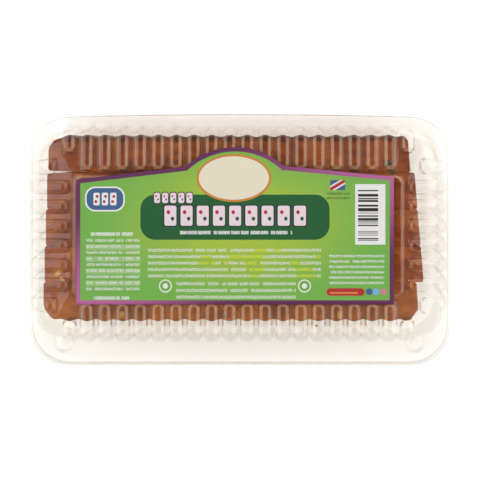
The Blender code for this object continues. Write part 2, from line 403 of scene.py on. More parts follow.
ribs = Values(
    depth=2.5 * mm,
    # a rib's height at shares of the way from its middle line to its foot: flat top, slope, steep foot
    shares=[0.0, 0.36, 0.46, 0.82, 0.94, 1.0],
    heights=[1.0, 1.0, 0.96, 0.68, 0.30, 0.0],
    crease=[[0.92, 0.99, 1.03, 1.15], [0.0, 1.0, 1.0, 0.0]],  # how much painted shade darkens the sheet at such shares
    haze=[[0.40, 0.50, 0.84, 0.94, 0.98, 1.2], [0.2, 2.6, 4.2, 2.0, 0.4, 0.4]],  # and how much painted highlight lies on the slope there
    archHaze=[[12.2, 12.9, 13.6, 14.4], [0.0, 4.2, 4.2, 0.0]],  # painted highlight where a rib bends down into the wall
    archShare=0.9,
    stepHaze=[[-9.55, -9.25, -8.85, -8.55], [0.0, 9.0, 9.0, 0.0]],  # painted highlight along the plateau's rim
    landHaze=0.12,  # what is left of the painted highlight and the painted crease shade past the cake
    landCrease=0.10,
    edgeCrease=0.15,
    edgeStart=[10.5, 12.5],
    wallCrease=0.15,
    wallFade=[4 * mm, 2 * mm],  # below the land
    topFade=[2 * mm, 0.8 * mm],
    topEnd=-8.6 * mm,
    cakeFade=0.8 * mm,  # how soon the painted highlight and painted crease shade fade past the cake, and how early at its rear
    rearFade=2 * mm,
    foot=0.22 * mm,  # fillet between a rib and the land
    samples=[-1.0, -0.94, -0.82, -0.46, -0.36, 0.36, 0.46, 0.82, 0.94, 1.0],
    offRib=9.0,  # stands for a place on the land
    endRoom=1 * mm,  # least room between the ribs and a corner
    long=Values(
        count=20,
        pitch=9.70 * mm,
        width=7.7 * mm,
        shortEnd=45.1 * mm,
        fullEnd=35.4 * mm,
        haze=1.0,
        crease=1.0,
    ),
    short=Values(
        count=8,
        pitch=10.64 * mm,
        width=7.8 * mm,
        shortEnd=98.7 * mm,
        fullEnd=92.0 * mm,
        haze=0.35,
        crease=0.45,
    ),
)


# Places along one side, how far across its rib each lies (-1 to 1), and which belong to the short end ribs.
def sideSamples(side, core):
    middles = (np.arange(side.count) - (side.count - 1) / 2) * side.pitch
    across = np.array(ribs.samples)
    half = side.width / 2
    places = np.concatenate([[-half - ribs.foot], across * half, [half + ribs.foot]])
    places = middles[:, None] + places
    off = [ribs.offRib]
    cross = np.tile(np.concatenate([off, across, off]), (len(middles), 1))
    short = np.zeros_like(places, bool)
    short[[0, -1]] = True
    return (
        np.concatenate([[-core], places.reshape(-1), [core]]),
        np.concatenate([off, cross.reshape(-1), off]),
        np.concatenate([[False], short.reshape(-1), [False]]),
    )


# Slides the outer stations so that they fit a straight stretch longer or shorter than the core's.
def fitted(places, straight, side, core):
    full = np.minimum((side.count - 2) * side.pitch / 2, straight - ribs.endRoom)
    beyond = np.maximum(np.abs(places) - full, 0)
    stretched = beyond * (straight - full) / (core - full)
    return np.sign(places) * (np.abs(places) - beyond + stretched)


# Rows of points round the pack, one for each entry of the arrays: a rounded rectangle at each height,
# with the ribs added along a direction that tilt turns from straight out to straight up. A rib's height
# is depth * height(span), where span is sqrt(across^2 + beyond^2) and beyond grows from 0 to 1 past the
# centre of its round end. Gives the points, and for each how much painted crease shade and painted
# highlight the sheet gets there, and how much it counts as the top of a rib.
def flutedRows(halfX, halfY, corner, z, tilt, ribShare, middleY):
    halfX, halfY, corner, z, tilt, ribShare, middleY = (
        np.broadcast_to(np.asarray(value, float), halfX.shape)[:, None]
        for value in (halfX, halfY, corner, z, tilt, ribShare, middleY)
    )
    blocks, creaseShades, paintedHighlights, onRibs = [], [], [], []
    up = np.array([0, 0, 1])
    for quarter in range(4):
        angle = quarter * math.pi / 2
        along = np.array([math.cos(angle), math.sin(angle), 0])
        out = np.array([math.sin(angle), -math.cos(angle), 0])
        side = ribs.long if quarter % 2 == 0 else ribs.short
        core = pack.coreX if quarter % 2 == 0 else pack.coreY
        length, reach = (halfX, halfY) if quarter % 2 == 0 else (halfY, halfX)
        straight = length - corner
        places, cross, short = sideSamples(side, core)
        radius = side.width / 2
        end = np.where(short, side.shortEnd, side.fullEnd)
        beyond = np.maximum((end + radius - reach) / radius, 0)
        span = np.hypot(cross, beyond)
        rise = np.interp(span, ribs.shares, ribs.heights) * ribs.depth * ribShare
        crease = np.interp(span, *ribs.crease) * np.clip(ribShare, 0, 1) * side.crease
        haze = np.interp(span, *ribs.haze) * side.haze
        spots = fitted(places, straight, side, core)[..., None] * along
        spots = spots + (reach * np.ones_like(places))[..., None] * out
        spots = spots + (rise * np.cos(tilt))[..., None] * out + (rise * np.sin(tilt))[..., None] * up
        turn = np.linspace(0, math.pi / 2, pack.cornerSteps + 1)[1:-1]
        arc = np.cos(turn)[:, None] * out + np.sin(turn)[:, None] * along
        bend = straight[..., None] * along + (reach - corner)[..., None] * out + corner[..., None] * arc
        blocks += [spots, bend]
        creaseShades += [crease, np.zeros(bend.shape[:2])]
        paintedHighlights += [haze, np.full(bend.shape[:2], ribs.haze[1][-1])]
        onRibs += [(span < ribs.archShare) * side.haze, np.zeros(bend.shape[:2])]
    rows = np.concatenate(blocks, axis=1)
    rows[..., 1] += middleY
    rows[..., 2] += z
    return rows, *(np.concatenate(values, axis=1) for values in (creaseShades, paintedHighlights, onRibs))


# The flange's edge line: its rear side bows out and stops short of the hinge fold.
def flangeRow(z, inset):
    half = np.array([(trayHigh.x - trayLow.x) / 2 - inset])
    front, rear = trayLow.y + inset, trayHigh.y - fold.room
    halfY, middle = (rear - front) / 2, (rear + front) / 2
    row = flutedRows(half, half * 0 + halfY, half * 0 + pack.flangeCorner, z, 0, 0, middle)[0]
    straight = half - pack.flangeCorner
    drop = pack.rearBow * np.minimum((row[..., 0] / straight) ** 2, 1)
    row[..., 1] -= drop * np.maximum(row[..., 1], 0) / rear
    return row


# Loft of the rows, closed by one face at the last, with the sheet's thickness below it.
# The flange's rows run from the edge line to the first of the rows.
def sheetPiece(name, edge, rows, creaseShades, haze):
    shares = np.array(pack.flangeRows)[:, None, None]
    rows = np.concatenate([edge * (1 - shares) + rows[:1] * shares, rows])
    count, columns = rows.shape[:2]
    # the flange's edge rows get painted crease shade
    edgeCrease = np.zeros((count - len(creaseShades), columns))
    edgeCrease[:2] = pack.flangeCrease
    last = np.arange(columns)[None, :] + (count - 1) * columns
    piece = meshFromArrays(name, rows.reshape(-1, 3), [gridQuads(count, columns), last])
    setAttribute(piece, "crease", np.concatenate([edgeCrease, creaseShades]))
    setAttribute(piece, "haze", np.concatenate([0 * edgeCrease, haze]))
    thicken(piece, pack.sheet)
    return piece


# A path from the flange along a wall, with extra rows on the wall's straight part, and its tilts.
def wallPath(corners, edge, edgeSteps, extra):
    path, tilt = roundedPath(corners, [pack.footFillet, edge], [pack.footSteps, edgeSteps])
    foot = pack.footSteps + 1
    wall = np.linspace(path[foot], path[foot + 1], extra + 2)[1:-1]
    path = np.concatenate([path[1 : foot + 1], wall, path[foot + 1 : -1]])
    tilt = np.concatenate([tilt[1 : foot + 1], np.full(extra, tilt[foot + 1]), tilt[foot + 1 : -1]])
    return path, tilt


# The lid's rows from the flange to the plateau: distance outside the core, height and the ribs' tilt.
def lidRows():
    top, flange = lidHigh.z, lidLow.z + pack.sheet
    land = top - ribs.depth
    bottom, brow = (pack.landAtFlange, flange), (pack.landAtLidTop, land)
    extra, foot = 3, pack.footSteps + 1
    corners = [(pack.flangeStart, flange), bottom, brow, (pack.lidPathEnd, land)]
    path, tilt = wallPath(corners, pack.lidEdge, 9, extra)
    wallTilt = math.atan2(bottom[0] - brow[0], land - flange)
    tilt = np.where(np.arange(len(tilt)) <= foot + extra, wallTilt, tilt)
    tilt[:foot] = 0
    inner = np.concatenate([np.linspace(*run) for run in pack.landRows]) * mm
    step, stepTilt = roundedPath(
        [(pack.stepStart, land), (pack.stepFoot, land), (pack.stepTop, top), (pack.stepEnd, top)],
        pack.stepFillets,
        [3, 3],
    )
    distance = np.concatenate([path[:, 0], inner, step[1:-1, 0], [pack.plateauRow]])
    z = np.concatenate([path[:, 1], np.full(len(inner), land), step[1:-1, 1], [top]])
    z -= pack.landFall * np.interp(distance / mm, *pack.landSlope)
    tilt = np.concatenate([tilt, np.full(len(inner), math.pi / 2), stepTilt[1:-1], [math.pi / 2]])
    return distance, z, tilt


def makeLid(plastic):
    distance, z, tilt = lidRows()
    away = distance / mm
    spread = np.interp(away, *pack.lidSpread) * mm
    corner = np.interp(away, *pack.lidCorner) * mm
    corner = np.where(away > pack.lidCorner[0][-1], distance, corner)
    halfX, halfY = pack.coreX + distance + spread, pack.coreY + distance
    rows, creaseShades, haze, onRib = flutedRows(halfX, halfY, corner, z, tilt, 1.0, pack.tubY)
    land = lidHigh.z - ribs.depth
    # painted crease shade: weaker down the walls and mostly gone past the cake
    creaseShades *= np.interp(z, land - np.array(ribs.wallFade), [ribs.wallCrease, 1.0])[:, None]
    x, y = rows[..., 0], rows[..., 1]
    sides = [cakeLow[0] - x, x - cakeHigh[0], cakeLow[1] - y, y - cakeHigh[1] + ribs.rearFade]
    past = np.clip(np.maximum.reduce(sides) / ribs.cakeFade, 0, 1)
    left = np.interp(away, ribs.edgeStart, [ribs.landCrease, ribs.edgeCrease])[:, None]
    creaseShades *= 1 - past * (1 - left)
    # painted highlight on the ribs' tops and arches and on the plateau's rim, mostly gone past the cake
    onTop = np.interp(z, land - np.array(ribs.topFade), [0.0, 1.0]) * (distance > ribs.topEnd)
    haze = haze * onTop[:, None] + np.interp(away, *ribs.archHaze)[:, None] * onRib
    haze *= 1 - past * (1 - ribs.landHaze)
    haze += np.interp(away, *ribs.stepHaze)[:, None]
    edge = flangeRow(lidLow.z + pack.sheet, pack.lidInset)
    piece = sheetPiece("lid_sheet", edge, rows, creaseShades, haze)
    settle(piece, plastic, "lid", ["lid"])


def makeTray(plastic):
    flange = trayHigh.z - button.height
    floor = trayLow.z + pack.sheet
    corners = [
        (pack.flangeStart, flange),
        (pack.landAtFlange - pack.sheet, flange),
        (pack.landAtFloor, floor),
        (pack.trayPathEnd, floor),
    ]
    path = wallPath(corners, pack.trayEdge, 6, 2)[0]
    distance, z = np.concatenate([path, [(row, floor) for row in pack.floorRows]]).T
    share = np.clip((z - floor) / pack.trayEdge, 0, 1) ** 0.5
    halfX, halfY = pack.coreX + distance, pack.coreY + distance
    rows, creaseShades = flutedRows(halfX, halfY, distance, z, 0, share, pack.tubY)[:2]
    # the tray's ribs get only faint painted crease shade
    piece = sheetPiece("tray_sheet", flangeRow(flange, 0), rows, creaseShades * ribs.wallCrease, 0 * creaseShades)
    settle(piece, plastic, "tray", ["tray"])


# Rows of points round an axis for each (radius, z) of a profile.
def turnedRows(centre, profile, sides):
    angles = np.arange(sides) * 2 * math.pi / sides
    circle = np.stack([np.cos(angles), np.sin(angles), 0 * angles], axis=-1)
    radius, height = profile[:, 0, None, None], profile[:, 1, None, None]
    return np.array(centre) + radius * circle + height * np.array([0, 0, 1])


# The two snap buttons at the front corners: hollow drums of the same sheet.
def makeButtons(name, radius, base, plastic, body):
    top = base + button.height
    corners = [
        (radius + button.rim, base),
        (radius, base),
        (radius - button.taper, top),
        (button.middle, top),
    ]
    profile = roundedPath(corners, [button.footFillet, button.round], [3, 5])[0]
    points, faces, start = [], [], 0
    for side in (-1, 1):
        rows = turnedRows((side * button.x, button.y, 0), profile, button.sides)
        points.append(rows.reshape(-1, 3))
        faces.append(gridQuads(*rows.shape[:2], start))
        faces.append((np.arange(button.sides) + start + (len(profile) - 1) * button.sides)[None, :])
        start += len(points[-1])
    piece = meshFromArrays(name, np.concatenate(points), faces)
    setAttribute(piece, "crease", np.zeros(start))
    thicken(piece, button.sheet)
    settle(piece, plastic, body)


fold = Values(
    room=0.6 * mm,  # the flanges stop this far short of the pack's rear
    reach=0.7 * mm,
    overlap=0.12 * mm,  # its two edges lie this far over the flanges
    sheet=0.3 * mm,
    crease=0.1,
    taper=12,  # it flattens over a twelfth of its half length at each end
    leastTaper=0.05,
    columns=97,
    rows=9,
)


# The bend that joins tray and lid flange: a half round along the rear edge.
def makeHingeFold(plastic):
    low, high = trayHigh.z - button.height - pack.sheet, lidLow.z + pack.sheet
    radius = (high - low) / 2
    reach = (trayHigh.x - trayLow.x) / 2 - pack.flangeCorner
    along = np.linspace(-reach, reach, fold.columns)[:, None]
    turn = np.linspace(-math.pi / 2, math.pi / 2, fold.rows)
    rear = trayHigh.y - fold.room - pack.rearBow * (along / reach) ** 2
    taper = np.clip((1 - np.abs(along) / reach) * fold.taper, fold.leastTaper, 1) ** 0.5
    y = rear + (np.cos(turn) * fold.reach - fold.overlap) * taper
    z = (low + high) / 2 + radius * np.sin(turn)
    points = np.stack([along + 0 * y, y, z + 0 * y], axis=-1)
    piece = meshFromArrays("hinge_fold", points.reshape(-1, 3), [gridQuads(*y.shape, closed=False)])
    # light painted crease shade along the fold
    setAttribute(piece, "crease", np.full(y.shape, fold.crease))
    thicken(piece, fold.sheet)
    piece.data.materials.append(plastic)
    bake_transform(piece)


plastic = makeClearPlastic()
makeLid(plastic)
makeTray(plastic)
makeButtons("lid_buttons", button.radius, lidLow.z + pack.sheet, plastic, "lid")
makeButtons("tray_buttons", button.trayRadius, trayHigh.z - button.height, plastic, "tray")
makeHingeFold(plastic)
print("pack sheets made")


cake = Values(
    edge=3.0 * mm,
    endEdge=1.6 * mm,
    cutEdge=0.3 * mm,
    bottomEdge=1.0 * mm,
    corners={"left 0": 10.0 * mm, "left 4": 10.0 * mm, "right 0": 4.0 * mm, "right 4": 8.5 * mm},
    cutCorner=0.9 * mm,
    middle=0.35,  # the top's middle line starts this share of the slice's depth in from its ends
    swell=0.75 * mm,  # how far the baked ends stand out past the solid
    press=0.26 * mm,  # how far the cut faces close the cuts
    scallop=0.6 * mm,  # waves of the baking case's flutes on the long sides
    scallopPitch=9.943 * mm,
    scallopStart=-0.225 * mm,
    spacing=1.0 * mm,
    slant=0.85 * mm,
    slantPower=8,
    openCut=1.1 * mm,  # how far the first cut gapes at the left end
    openShare=0.6,  # and how much of that the slice in front of it moves
    openLength=24 * mm,
    crust=1.6 * mm,
    crustFade=1.2 * mm,
    topFade=2 * mm,
    bottomSkin=0.3 * mm,
    wrinkle=0.16 * mm,
    wrinkles=[(5 * mm, 3, 0.5), (1.9 * mm, 7, 0.35), (0.9 * mm, 9, 0.25)],  # spacing, seed, strength
    pore=0.7 * mm,
    poreShare=0.15,
    pores=[(1.6 * mm, 11, 0.6), (0.8 * mm, 13, 0.4)],
)


# Counterclockwise outline of a rectangle whose four corners have their own radii, as points and normals.
def roundedOutline(low, high, radii, spacing):
    inward = [(1, 1), (-1, 1), (-1, -1), (1, -1)]
    arcs, normals = [], []
    for i, (into, radius) in enumerate(zip(np.array(inward), radii)):
        corner = np.where(into > 0, low[:2], high[:2])
        count = max(3, int(radius * math.pi / 2 / spacing) + 1)
        angles = math.pi + i * math.pi / 2 + np.linspace(0, math.pi / 2, count)
        way = np.stack([np.cos(angles), np.sin(angles)], axis=-1)
        arcs.append(corner + into * radius + radius * way)
        normals.append(way)
    points, ways = [], []
    for i in range(4):
        points.append(arcs[i])
        ways.append(normals[i])
        start, end = arcs[i][-1], arcs[(i + 1) % 4][0]
        count = int(np.linalg.norm(end - start) / spacing)
        share = np.linspace(0, 1, count + 1)[1:-1, None]
        points.append(start * (1 - share) + end * share)
        ways.append(np.repeat(normals[i][-1:], len(share), axis=0))
    return np.concatenate(points), np.concatenate(ways)


# One slice: the outline carried from the middle of the underside, up the sides and over the top edge
# to the middle of the top. Its depth attribute is each point's distance from the whole cake's skin.
def makeSlice(name, column, row, crumb):
    low, high = (np.array(corner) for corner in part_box(name))
    outerX = -1 if column == "left" else 1
    rear, front = row == 0, row == 4
    low -= (cake.swell if column == "left" else cake.press, 0 if front else cake.press, 0)
    high += (cake.swell if column == "right" else cake.press, 0 if rear else cake.press, 0)
    radii = [cake.cutCorner] * 4
    if front:
        radii[0 if column == "left" else 1] = cake.corners[f"{column} 4"]
    if rear:
        radii[3 if column == "left" else 2] = cake.corners[f"{column} 0"]
    outline, normal = roundedOutline(low, high, radii, cake.spacing)
    onCrust = normal[:, 0] * outerX > 0.5
    onCrust |= (normal[:, 1] > 0.5) & rear
    onCrust |= (normal[:, 1] < -0.5) & front
    topEdge = np.where(onCrust, cake.edge, cake.cutEdge)
    topEdge = np.where(np.abs(normal[:, 0]) > 0.9, np.minimum(topEdge, cake.endEdge), topEdge)
    bottomEdge = cake.bottomEdge
    height = high[2] - low[2]
    rise = np.linspace(0, math.pi / 2, 9)
    inset = cake.middle * (high[1] - low[1])
    centreX = np.clip(outline[:, 0], low[0] + inset, high[0] - inset)
    centre = np.stack([centreX, np.full(len(outline), (low[1] + high[1]) / 2)], axis=-1)
    rows = []

    def addRow(flat, z):
        rows.append(np.column_stack([flat, np.broadcast_to(z, len(flat))]))

    inner = outline - normal * bottomEdge
    for share in np.linspace(0.0, 0.94, 10):
        addRow(centre * (1 - share) + inner * share, low[2])
    for angle in rise[::2]:
        ring = outline - normal * bottomEdge * (1 - math.sin(angle))
        addRow(ring, low[2] + bottomEdge * (1 - math.cos(angle)))
    for share in np.linspace(0, 1, int(height / cake.spacing))[1:-1]:
        addRow(outline, low[2] + bottomEdge + share * (height - bottomEdge - topEdge))
    for angle in rise:
        ring = outline - normal * (topEdge * (1 - math.cos(angle)))[:, None]
        addRow(ring, high[2] - topEdge * (1 - math.sin(angle)))
    inner = outline - normal * topEdge[:, None]
    for share in np.linspace(0.06, 1.0, 12):
        addRow(inner * (1 - share) + centre * share, high[2])
    grid = np.array(rows)
    depth = shapeSlice(grid, normal, low, high, column, row)
    piece = meshFromArrays(name + "_cake", grid.reshape(-1, 3), [gridQuads(*grid.shape[:2])])
    setAttribute(piece, "depth", depth / mm)
    closeMiddles(piece)
    settle(piece, crumb, "tray", [name])


# Moves a slice's points to their uneven places, and gives each one's depth under the cake's skin.
def shapeSlice(grid, normal, low, high, column, row):
    x, y, z = (grid[..., i].copy() for i in range(3))
    ownWall = high[0] if column == "right" else low[0]
    depth = np.minimum(np.minimum(z - low[2], high[2] - z), np.abs(x - ownWall))
    if row == 0:
        depth = np.minimum(depth, high[1] - y)
    if row == 4:
        depth = np.minimum(depth, y - low[1])
    width = high[1] - low[1]
    toRear = np.clip((y - low[1]) / width, 0, 1)
    toFront = np.clip((high[1] - y) / width, 0, 1)
    # the right end slants with the cake's side
    if column == "right":
        along = np.clip((x - low[0]) / (high[0] - low[0]), 0, 1)
        fromMiddle = ((low[1] + high[1]) / 2 - y) / width * 2
        grid[..., 0] += cake.slant * along ** cake.slantPower * fromMiddle
    # both long sides are waved
    if row in (0, 4):
        across, way = (toRear, 1) if row == 0 else (1 - toRear, -1)
        wave = np.cos(2 * math.pi * (x - cake.scallopStart) / cake.scallopPitch)
        grid[..., 1] -= cake.scallop * across**2 * wave * way
    # the first cut gapes at its left end
    reach = np.clip(1 - (x - low[0]) / cake.openLength, 0, 1) ** 1.5
    if column == "left" and row == 0:
        grid[..., 1] += cake.openCut * reach * toFront**2
    if column == "left" and row == 1:
        grid[..., 1] -= cake.openCut * cake.openShare * reach * toRear**2
    # crust: shallow wrinkles; crumb: open pores. Both only cut into the block.
    wrinkle = noiseSum(grid, cake.wrinkles)
    pore = noiseSum(grid, cake.pores)
    inside = np.clip((depth - cake.crust) / cake.crustFade, 0, 1)
    dent = (1 - inside) * cake.wrinkle * (1 + wrinkle)
    dent += inside * np.maximum(cake.poreShare + pore, 0) * cake.pore
    onTop = np.clip((z - (high[2] - cake.topFade)) / cake.topFade, 0, 1)
    grid[..., 2] -= dent * onTop
    dent = np.where(z < low[2] + cake.bottomSkin, 0, dent) * (1 - onTop)
    grid[..., :2] -= normal * dent[..., None]
    return depth


# The first and last rows lie on a line in the middle of the underside and of the top: this joins them.
def closeMiddles(piece):
    weld = piece.modifiers.new("middles", "WELD")
    weld.merge_threshold = 0.02 * mm


crustLook = Values(
    crust=(0.185, 0.035, 0.0025),
    darkCrust=(0.115, 0.017, 0.0015),
    paleCrust=(0.280, 0.072, 0.0070),
    # painted shade for the crust along the rear top edge
    rearEdge=(0.040, 0.007, 0.002),
    goldenEdge=(0.36, 0.15, 0.028),
    crumb=(0.62, 0.42, 0.14),
    darkCrumb=(0.62, 0.37, 0.10),
    redDice=(0.45, 0.02, 0.015),
    greenDice=(0.10, 0.22, 0.03),
    amberDice=(0.75, 0.38, 0.04),
    goldenSpecks=0.30,  # how golden the specks, the lower sides and the front are
    goldenSides=0.6,
    goldenFront=0.25,
    sidesFrom=(0.030, 0.0375),  # heights between which the golden sides end
    frontFrom=(-0.046, -0.020),
    rearDark=0.85,
    rearFrom=(0.0572, 0.0592),
    rearFall=(4.5 * mm, 2.0 * mm),  # how far down from the top the painted shade at the rear edge reaches
    bump=(0.0004, 0.6),
)


# Baked crust over yellow crumb, told apart by the depth attribute, with dice of fruit in the crumb.
# Painted shade darkens the crust along the rear top edge.
def makeCakeFinish():
    finish = Finish("baked_fruitcake")
    look = crustLook
    place = finish.place()
    x, y, z = finish.axes(place)
    depth = finish.attribute("depth")
    broad = finish.noise(place, 45.0, 3.0)
    fine = finish.noise(place, 420.0, 4.0, 0.6)
    specks = finish.noise(place, 1300.0, 2.0, 0.7)
    stretched = finish.out(finish.add("Mapping", inputs={"Vector": place, "Scale": (1.0, 2.2, 1.0)}))
    streaks = finish.noise(stretched, 90.0, 4.0, 0.6)
    crust = finish.ramp(broad * 0.5 + streaks * 0.5, [
        (0.39, look.darkCrust),
        (0.50, look.crust),
        (0.61, look.paleCrust),
    ])
    crust = finish.blend(specks.rise(0.64, 0.80) * look.goldenSpecks, crust, look.goldenEdge)
    lowSide = 1 - (z + (broad - 0.5) * 0.012).rise(*look.sidesFrom)
    crust = finish.blend(lowSide * look.goldenSides, crust, look.goldenEdge)
    wave = ((x - cake.scallopStart) * (2 * math.pi / cake.scallopPitch)).apply("COSINE")
    # painted shade: the crust darkens along the rear top edge, following the flutes' waves
    rearEdge = (y - wave * cake.scallop + (streaks - 0.5) * 0.003).rise(*look.rearFrom)
    topEdge = (z + (fine - 0.5) * 0.003).rise(*(cakeHigh[2] - fall for fall in look.rearFall))
    crust = finish.blend(rearEdge * topEdge * look.rearDark, crust, look.rearEdge)
    crust = finish.blend((1 - y.rise(*look.frontFrom)) * look.goldenFront, crust, look.goldenEdge)
    wobble = depth + (fine - 0.5) * 2.2
    crumb = finish.blend(fine.rise(0.35, 0.75), look.crumb, look.darkCrumb)
    dice = finish.add("TexVoronoi", {"feature": "F1"}, {"Vector": place, "Scale": 150.0, "Randomness": 1.0})
    red, green = finish.axes(finish.out(dice, "Color"))[:2]
    inDice = 1 - finish.out(dice, "Distance").rise(0.34, 0.40)
    crumb = finish.blend(inDice * red.near(0.08, 0.07), crumb, look.redDice)
    crumb = finish.blend(inDice * red.near(0.92, 0.05), crumb, look.greenDice)
    crumb = finish.blend(inDice * green.near(0.06, 0.06), crumb, look.amberDice)
    colour = finish.blend(wobble.rise(1.1, 2.4), crust, look.goldenEdge)
    colour = finish.blend(wobble.rise(2.2, 4.4), colour, crumb)
    return finish.show(finish.principled({
        "Base Color": colour,
        "Roughness": 0.62 + fine * 0.25,
        "Specular IOR Level": 0.30,
        "Normal": finish.bump(fine * 0.7 + specks * 0.3, *look.bump),
    }))


# Places in mm on the cake's top, with each bit's length, width, height and turn, and its colours.
bits = {
    "green_fruit": {
        "tones": [(0.012, 0.024, 0.010), (0.030, 0.052, 0.014)],
        "gloss": 0.3,
        "spots": [(83.0, 45.6, 2.1, 1.3, 0.8, 0.3), (85.6, 41.2, 1.8, 1.2, 0.8, 1.2)],
    },
    "gold_fruit": {
        "tones": [(0.30, 0.14, 0.018), (0.46, 0.26, 0.045)],
        "gloss": 0.3,
        "spots": [
            (56.0, -38.6, 2.2, 1.4, 0.8, 1.5),
            (-64.6, -38.2, 2.0, 1.4, 0.8, 1.7),
            (-100.4, -15.4, 2.2, 1.5, 0.8, 0.8),
            (-98.2, -18.7, 1.4, 1.1, 0.7, 2.2),
        ],
    },
    "crumbs": {
        "tones": [(0.10, 0.040, 0.010), (0.30, 0.16, 0.040)],
        "gloss": 0.7,
        "spots": [
            (43.2, -44.6, 0.7, 0.5, 0.5, 0.3),
            (-100.0, -20.6, 0.8, 0.6, 0.5, 1.3),
            (-102.0, 9.0, 0.8, 0.6, 0.5, 2.4),
        ],
    },
}
bitShape = Values(
    rows=13,
    columns=20,
    poleGap=0.02,
    lumps=0.28,
    lumpSpacing=0.9,
    squareness=0.8,  # below 1 is boxier
    sunk=0.25 * mm,
)


# Round bits: rows of a globe, each point pushed in or out by the noise at its direction.
def makeBits(name, look, top):
    rows, columns = bitShape.rows, bitShape.columns
    pole = math.pi / 2 - bitShape.poleGap
    rise = np.linspace(-pole, pole, rows)[:, None]
    turn = np.linspace(0, 2 * math.pi, columns, endpoint=False)
    ring = [np.cos(rise) * np.cos(turn), np.cos(rise) * np.sin(turn), np.sin(rise) + 0 * turn]
    globe = np.stack(ring, axis=-1)
    points, faces = [], []
    for i, (x, y, length, width, height, angle) in enumerate(look["spots"]):
        lumps = softNoise(globe + i * 5.3, bitShape.lumpSpacing, 31)
        lump = globe * (1 + bitShape.lumps * lumps)[..., None]
        lump = np.sign(lump) * np.abs(lump) ** bitShape.squareness * np.array([length, width, height])
        cos, sin = math.cos(angle), math.sin(angle)
        turned = lump @ np.array([[cos, sin, 0], [-sin, cos, 0], [0, 0, 1]])
        points.append((turned * mm + np.array([x * mm, y * mm, top])).reshape(-1, 3))
        start = i * rows * columns
        faces.append(gridQuads(rows, columns, start))
        faces.append((np.arange(columns)[::-1] + start)[None, :])
        faces.append((np.arange(columns) + start + (rows - 1) * columns)[None, :])
    piece = meshFromArrays(name, np.concatenate(points), faces)
    finish = Finish(name)
    first, second = look["tones"]
    fine = finish.noise(finish.place(), 700.0, 3.0, 0.6)
    shader = finish.principled({
        "Base Color": finish.blend(fine.rise(0.35, 0.65), first, second),
        "Roughness": fine * 0.2 + look["gloss"],
        "Specular IOR Level": 0.5,
        "Normal": finish.bump(fine, 0.0003, 0.5),
    })
    settle(piece, finish.show(shader), "tray")


crumb = makeCakeFinish()
for column, row in slices:
    makeSlice(f"slice_{column}_{row + 1}", column, row, crumb)
for name, look in bits.items():
    makeBits(name, look, sliceBoxes[0][1].z - bitShape.sunk)
print("cake slices made")


label = Values(
    shoulderLeft=(-28.5, 44.1),
    shoulderRight=(24.4, 44.5),
    archTop=(-1.0, 54.5),
    rearLeft=37.1,
    rearRight=38.6,
    border=2.3,
    paper=0.18 * mm,
    waves=[(14.0, 21, 0.04), (5.0, 22, 0.02)],  # spacing in mm, seed, height in mm
    mostWave=0.06,
    columns=173,
    rows=86,
)


# Height of the label's rear edge at x, in mm: two slopes that rise to the shoulders, and an arch between.
def labelRear(x):
    leftX, leftY = label.shoulderLeft
    rightX, rightY = label.shoulderRight
    places = [labelLow.x / mm, leftX, rightX, labelHigh.x / mm]
    slopes = np.interp(x, places, [label.rearLeft, leftY, rightY, label.rearRight])
    half, rise = (rightX - leftX) / 2, label.archTop[1] - (leftY + rightY) / 2
    radius = (half**2 + rise**2) / (2 * rise)
    middle = (leftX + rightX) / 2
    inside = np.clip(radius**2 - (x - middle) ** 2, 0, None)
    arch = np.sqrt(inside) - (radius - rise) + slopes
    return np.where((x > leftX) & (x < rightX), np.maximum(arch, slopes), slopes)


# Distance in mm from each point to the label's rear edge.
def labelMargin(x, y):
    step = 0.05
    slope = (labelRear(x + step) - labelRear(x - step)) / (2 * step)
    return (labelRear(x) - y) / np.sqrt(1 + slope**2)


def makeLabel():
    across = np.linspace(labelLow.x / mm, labelHigh.x / mm, label.columns)
    share = np.linspace(0, 1, label.rows)[:, None]
    front = labelLow.y / mm
    y = front + share * (labelRear(across) - front)
    x = np.broadcast_to(across, y.shape)
    wave = noiseSum(np.stack([x, y, np.zeros_like(x)], axis=-1), label.waves)
    z = labelHigh.z / mm - label.mostWave + np.clip(wave, -label.mostWave, label.mostWave)
    points = np.stack([x, y, z], axis=-1) * mm
    piece = meshFromArrays("label_paper", points.reshape(-1, 3), [gridQuads(*x.shape, closed=False)])
    setAttribute(piece, "margin", labelMargin(x, y))
    thicken(piece, label.paper)
    settle(piece, makeLabelPrint(), "lid", ["label"])


# Mask of a rectangle in mm, with round corners if a radius is given.
def block(x, y, left, right, front, rear, radius=0.0):
    midX, halfX = (left + right) / 2, (right - left) / 2
    midY, halfY = (front + rear) / 2, (rear - front) / 2
    if not radius:
        return x.near(midX, halfX) * y.near(midY, halfY)
    pastX = (abs(x - midX) - (halfX - radius)).apply("MAXIMUM", 0.0)
    pastY = (abs(y - midY) - (halfY - radius)).apply("MAXIMUM", 0.0)
    return (pastX * pastX + pastY * pastY).below(radius**2)


def disc(x, y, midX, midY, halfX, halfY):
    across, up = (x - midX) / halfX, (y - midY) / halfY
    return (across * across + up * up).below(1.0)


# Rows of short bars like lines of print: each line is cut into lengths by a noise along it.
def lines(x, y, left, right, front, rear, count, wordLength=2.6, gap=0.42, strength=0.1):
    line = (y - front) / ((rear - front) / count)
    number = line.apply("FLOOR")
    words, strokes = (
        x.finish.noise(x.finish.out(x.finish.add("CombineXYZ", inputs={0: across, 1: up, 2: 0.0})), 1.0, 1.0)
        for across, up in ((x / wordLength, number * 7.3), (x / 0.55, y / 0.7))
    )
    ink = words.apply("GREATER_THAN", gap) * (strokes.rise(0.36, 0.66) * 0.75 + strength)
    return block(x, y, left, right, front, rear) * (line - number).near(0.5, 0.23) * ink


